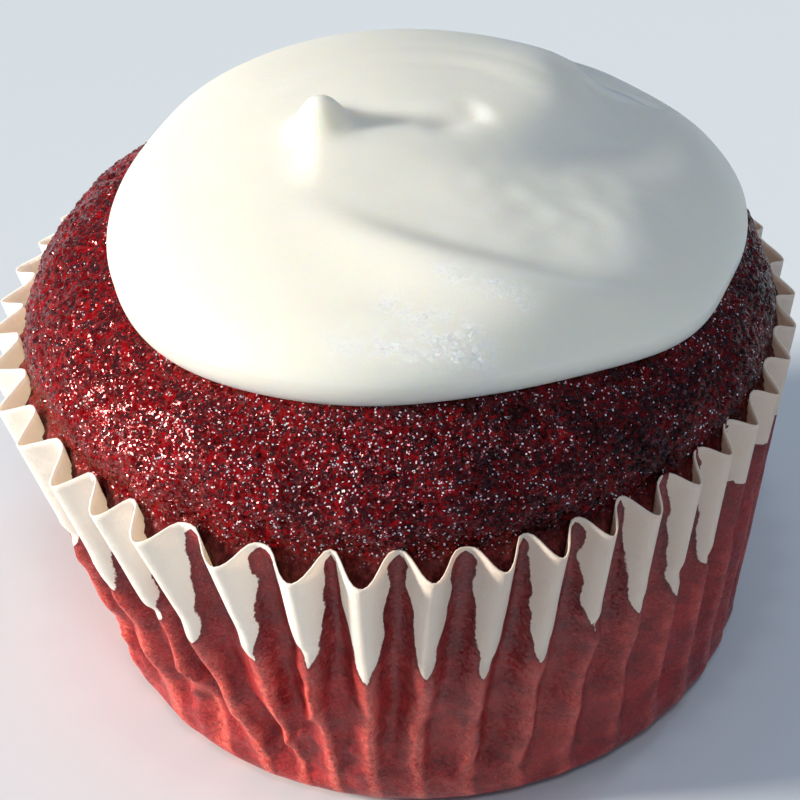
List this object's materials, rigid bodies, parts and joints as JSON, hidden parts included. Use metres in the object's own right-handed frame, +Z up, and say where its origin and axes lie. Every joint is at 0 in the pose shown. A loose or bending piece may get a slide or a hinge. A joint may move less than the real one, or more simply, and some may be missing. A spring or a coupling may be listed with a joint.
{
  "type": "cupcake",
  "caption": "Dark red sponge cupcake in a fluted white paper case, topped with one smooth dollop of cream frosting.",
  "frame": {"origin": "the middle of the paper case's flat underside", "axes": "+Z up, the cupcake's own axis; -Y is the front, the side the dollop leans towards; +X is to the right seen from the front"},
  "size_m": [0.0625, 0.0626, 0.0516],
  "materials": {
    "paper": "greaseproof paper, dry and white at the rim, soaked red below",
    "sponge": "moist dark red crumb with a fine wet sparkle on its dome",
    "frosting": "smooth, softly glossy cream"
  },
  "bodies": {
    "root": {"paper_case": "paper", "sponge": "sponge", "frosting": "frosting"}
  },
  "joints": []
}
